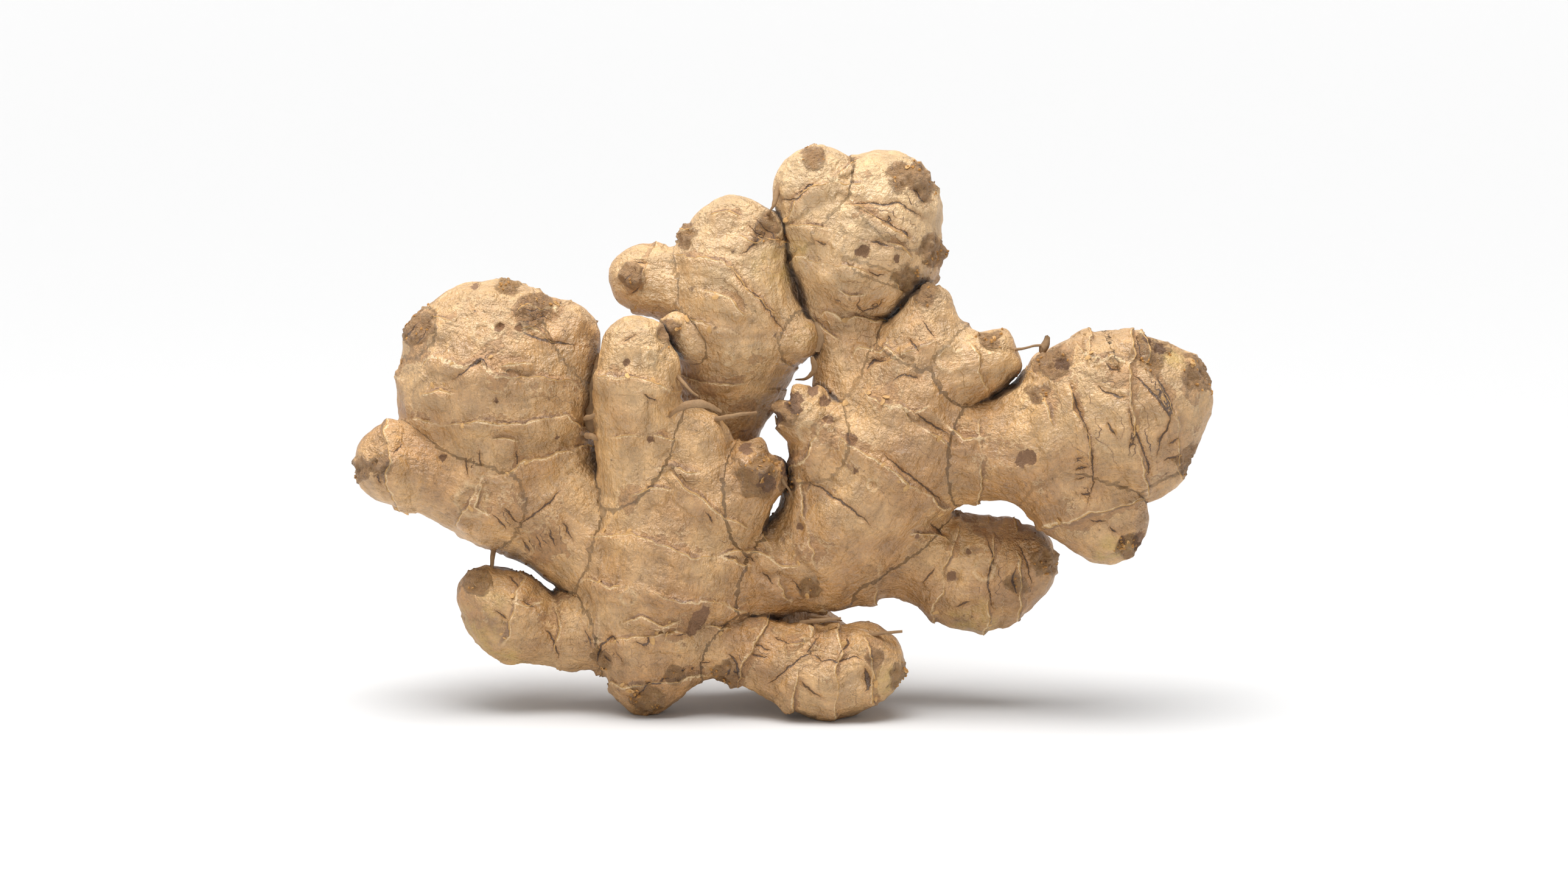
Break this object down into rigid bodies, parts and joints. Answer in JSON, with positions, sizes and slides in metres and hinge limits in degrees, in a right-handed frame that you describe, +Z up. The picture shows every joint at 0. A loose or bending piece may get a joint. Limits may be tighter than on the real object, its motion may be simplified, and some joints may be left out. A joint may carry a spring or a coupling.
{
  "type": "ginger root",
  "caption": "A whole fresh ginger rhizome: fat knobbly fingers spread in one plane, ringed with torn scale-leaf edges, standing upright on its low points.",
  "frame": {"origin": "On the surface that it stands on, under the middle of its box.", "axes": "+Z is up as it stands. +X runs to the right along its spread of fingers as it is seen from the front. +Y points away from the viewer, through its thickness."},
  "size_m": [0.1902, 0.0536, 0.1265],
  "materials": {
    "ginger_skin": "dry papery skin, matte, tan with pale ragged rings"
  },
  "bodies": {
    "root": {"ginger_root": "ginger_skin"}
  },
  "joints": []
}
